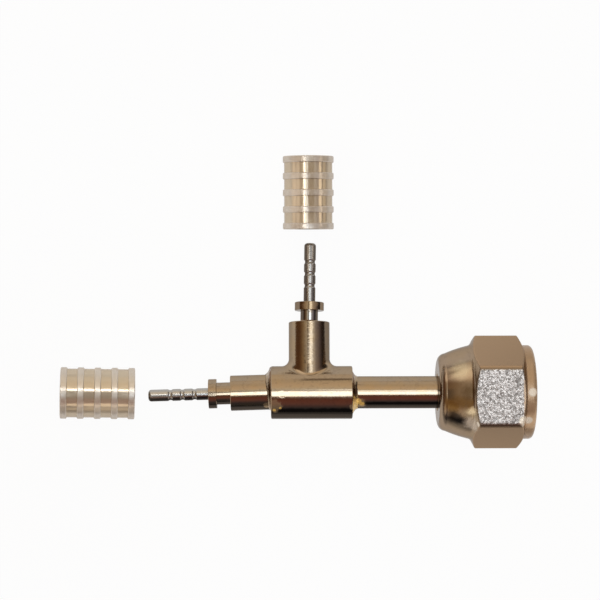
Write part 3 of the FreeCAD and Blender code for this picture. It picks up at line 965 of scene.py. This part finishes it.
# The camera: direction back to it, what it looks at in millimetres from the crossing, its roll in
# degrees, its sensor's width in millimetres and its nearest and farthest view in metres
CAMERA_BACK = (-0.1181, 0.0395, 0.9922)
CAMERA_TARGET = (-1.541, 15.77, -0.2)
CAMERA_ROLL = -0.14
SENSOR_WIDTH = 36
NEAREST, FARTHEST = 0.01, 20


class SOLDERTEE_OT_stage(bpy.types.Operator):
    """Set up the floor, the soft light and the camera of the photograph"""
    bl_idname = "soldertee.stage"
    bl_label = "Stage"

    def floor(self, stage):
        """White to the camera and in the metal, save for the object's soft shadow."""
        material = bpy.data.materials.new("white_floor")
        wires = bare_wiring(material)
        paper = wires.add("ShaderNodeBsdfDiffuse", {"Color": grey(0.9)})
        path = wires.add("ShaderNodeLightPath").outputs
        mirrored = wires.math("MAXIMUM", path["Is Glossy Ray"], path["Is Transmission Ray"])
        level = wires.math("MAXIMUM", path["Is Camera Ray"], self.near_pieces(wires, stage))
        glow = wires.add("ShaderNodeEmission", {"Color": grey(1.0), "Strength": level})
        seen = wires.times(path["Is Camera Ray"], stage.floor_white)
        shown = {0: wires.math("MAXIMUM", seen, mirrored), 1: paper.outputs[0], 2: glow.outputs[0]}
        mixed = wires.add("ShaderNodeMixShader", shown)
        wires.add("ShaderNodeOutputMaterial", {"Surface": mixed.outputs[0]})
        bm = bmesh.new()
        bmesh.ops.create_circle(bm, cap_ends=True, segments=96, radius=FLOOR_RADIUS)
        bm.transform(Matrix.Translation((0, 0, -FLOOR_SUNK)))
        new_object("floor", bm, material)

    def near_pieces(self, wires, stage):
        """Mirrored white of the floor, which falls off away from the run and the branch."""
        where = wires.add("ShaderNodeTexCoord").outputs["Object"]
        along, across = [TEE.to_3x3().col[axis].xy for axis in (0, 1)]
        middle = CROSSING.xy
        from_run = wires.plus(wires.dot(where, (*across, 0)), -across.dot(middle))
        from_branch = wires.plus(wires.dot(where, (*along, 0)), -along.dot(middle))
        beside = wires.math("ABSOLUTE", from_branch)
        beside = wires.math("MAXIMUM", beside, wires.times(from_run, -1.0))
        away = wires.math("MINIMUM", wires.math("ABSOLUTE", from_run), beside)
        return wires.ramp(away, *FLOOR_FADES, stage.floor_mirrored, stage.floor_far)

    def arc(self, wires, angle, stops):
        """Colours at marked angles, in degrees, blended from one to the next."""
        half_turn = {"Value": angle, "From Min": -math.pi / 2, "From Max": math.pi / 2}
        share_round = wires.add("ShaderNodeMapRange", half_turn)
        node = wires.add("ShaderNodeValToRGB", {0: share_round.outputs[0]})
        marks = node.color_ramp.elements
        while len(marks) < len(stops):
            marks.new(0.5)
        for mark, (degrees, light) in zip(marks, stops):
            mark.position = (degrees + 90) / 180
            mark.color = rgba(light)
        return node.outputs[0]

    def room(self):
        """Light of an arc along the run, one across it and softer ones between, seen as white."""
        world = bpy.data.worlds.new("room")
        wires = bare_wiring(world)
        towards = wires.add("ShaderNodeTexCoord").outputs["Generated"]
        parts = wires.add("ShaderNodeSeparateXYZ", {0: towards}).outputs
        along = self.arc(wires, wires.math("ARCTAN2", parts[0], parts[2]), ALONG_RUN)
        across = self.arc(wires, wires.math("ARCTAN2", parts[1], parts[2]), ACROSS_RUN)
        far_side = wires.minus(parts[1], 0.2)
        near_side = wires.minus(-0.05, parts[1])
        sideways = wires.math("MAXIMUM", far_side, near_side)
        sideways = wires.minus(sideways, wires.math("ABSOLUTE", parts[0]))
        light = wires.blend(wires.ramp(sideways, -0.08, 0.08), along, across)
        for direction, inner, outer, patch in ROOM_LIGHTS:
            facing = wires.dot(towards, tuple(Vector(direction).normalized()))
            mask = wires.ramp(facing, math.cos(math.radians(outer)), math.cos(math.radians(inner)))
            light = wires.blend(mask, light, rgba(patch))
        seen = wires.add("ShaderNodeLightPath").outputs["Is Camera Ray"]
        light = wires.blend(seen, light, grey(1.0))
        shine = wires.add("ShaderNodeBackground", {"Color": light, "Strength": 1.0})
        wires.add("ShaderNodeOutputWorld", {"Surface": shine.outputs[0]})
        bpy.context.scene.world = world

    def lamp(self, name, place, size, brightness, tint, spread=math.pi):
        """An oval lamp, sized in millimetres, that shines down the Z axis of its place."""
        light = bpy.data.lights.new(name, "AREA")
        light.shape = "ELLIPSE"
        length, width = [side * MILLIMETRE for side in size]
        light.size, light.size_y = length, width
        # It looks this bright at a power of that times pi times its area
        light.energy = brightness * math.pi ** 2 * length * width / 4
        light.color = tint
        light.spread = spread
        lamp = bpy.data.objects.new(name, light)
        lamp.matrix_world = place
        lamp.visible_camera = False
        bpy.context.scene.collection.objects.link(lamp)

    def flag(self, name, middle, size, brightness):
        """A dim card, sized in millimetres and unseen by the camera, over a ferrule."""
        material = bpy.data.materials.new(name)
        wires = bare_wiring(material)
        cloth = wires.add("ShaderNodeEmission", {"Color": rgba(FLAG_TINT), "Strength": brightness})
        wires.add("ShaderNodeOutputMaterial", {"Surface": cloth.outputs[0]})
        bm = bmesh.new()
        bmesh.ops.create_grid(bm, x_segments=1, y_segments=1, size=0.5)
        bm.transform(Matrix.Diagonal((*size, 1, 1)))
        bm.transform(Matrix.Translation(middle) @ Matrix.Scale(MILLIMETRE, 4))
        flag = new_object(name, bm, material)
        flag.visible_camera = False

    def lamps(self, stage):
        """The soft lamps overhead, and small cards and a flag round each ferrule."""
        for (x, y), size, brightness in SOFT_LAMPS:
            place = Matrix.Translation((x * MILLIMETRE, y * MILLIMETRE, stage.lamp_height))
            self.lamp("soft_lamp", place, size, stage.lamp_light * brightness, stage.lamp_tint)
        # A narrow spread throws a lamp's power into a cone, where it looks that much brighter
        cone = (math.pi - CARD_SPREAD) / 2
        crowding = 2 / (2 + (2 * cone - math.pi) * math.tan(cone))
        for index, (ferrule, towards, away, size, brightness, tint) in enumerate(CARDS):
            bore, axis = mount(ferrule)
            back = Vector(towards).normalized()
            place = frame_at(bore + back * away * MILLIMETRE, axis, back.cross(axis))
            brightness *= stage.card_light / crowding
            self.lamp(f"{ferrule}_card_{index}", place, size, brightness, tint, CARD_SPREAD)
        for ferrule, above, size, brightness in FLAGS:
            middle = mount(ferrule)[0] + Vector(above) * MILLIMETRE
            self.flag(ferrule + "_flag", middle, size, brightness)

    def camera(self, stage):
        lens = bpy.data.cameras.new("camera")
        lens.lens = stage.lens
        lens.sensor_width = SENSOR_WIDTH
        lens.clip_start, lens.clip_end = NEAREST, FARTHEST
        camera = bpy.data.objects.new("camera", lens)
        back = Vector(CAMERA_BACK).normalized()
        target = CROSSING + Vector(CAMERA_TARGET) * MILLIMETRE
        right = Vector((0, 1, 0)).cross(back).normalized()
        turn = Matrix((right, back.cross(right), back)).transposed().to_4x4()
        roll = Matrix.Rotation(math.radians(CAMERA_ROLL), 4, "Z")
        place = Matrix.Translation(target + back * stage.camera_distance)
        camera.matrix_world = place @ turn @ roll
        bpy.context.scene.collection.objects.link(camera)
        bpy.context.scene.camera = camera

    def execute(self, context):
        stage = settings("photo_stage")
        self.floor(stage)
        self.room()
        self.lamps(stage)
        self.camera(stage)
        context.scene.view_settings.view_transform = "Standard"
        return {"FINISHED"}


class SOLDERTEE_PT_panel(bpy.types.Panel):
    """The sizes and colours, and a button for each operator."""
    bl_label = "Solder tee with union"
    bl_idname = "SOLDERTEE_PT_panel"
    bl_space_type = "VIEW_3D"
    bl_region_type = "UI"
    bl_category = "Solder tee"

    def draw(self, context):
        for name in GROUPS:
            group = getattr(context.scene, name)
            box = self.layout.box()
            for item in group.__annotations__:
                box.prop(group, item)
        for operator in OPERATORS:
            self.layout.operator(operator.bl_idname)


OPERATORS = (
    SOLDERTEE_OT_stage,
    SOLDERTEE_OT_nickel,
    SOLDERTEE_OT_nut,
    SOLDERTEE_OT_ferrules,
    SOLDERTEE_OT_braze,
    SOLDERTEE_OT_thread,
)
GROUPS = {
    "tee_finishes": TeeFinishes,
    "union_thread": UnionThread,
    "braze_beads": BrazeBeads,
    "photo_stage": PhotoStage,
}


def register():
    for name, group in GROUPS.items():
        bpy.utils.register_class(group)
        setattr(bpy.types.Scene, name, PointerProperty(type=group))
    for operator in OPERATORS:
        bpy.utils.register_class(operator)
    bpy.utils.register_class(SOLDERTEE_PT_panel)


def unregister():
    bpy.utils.unregister_class(SOLDERTEE_PT_panel)
    for operator in reversed(OPERATORS):
        bpy.utils.unregister_class(operator)
    for name, group in GROUPS.items():
        delattr(bpy.types.Scene, name)
        bpy.utils.unregister_class(group)


def main():
    register()
    bpy.ops.soldertee.stage()
    bpy.ops.soldertee.nickel()
    bpy.ops.soldertee.nut()
    bpy.ops.soldertee.ferrules()
    bpy.ops.soldertee.braze()
    bpy.ops.soldertee.thread()
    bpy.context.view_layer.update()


if __name__ == "__main__":
    main()
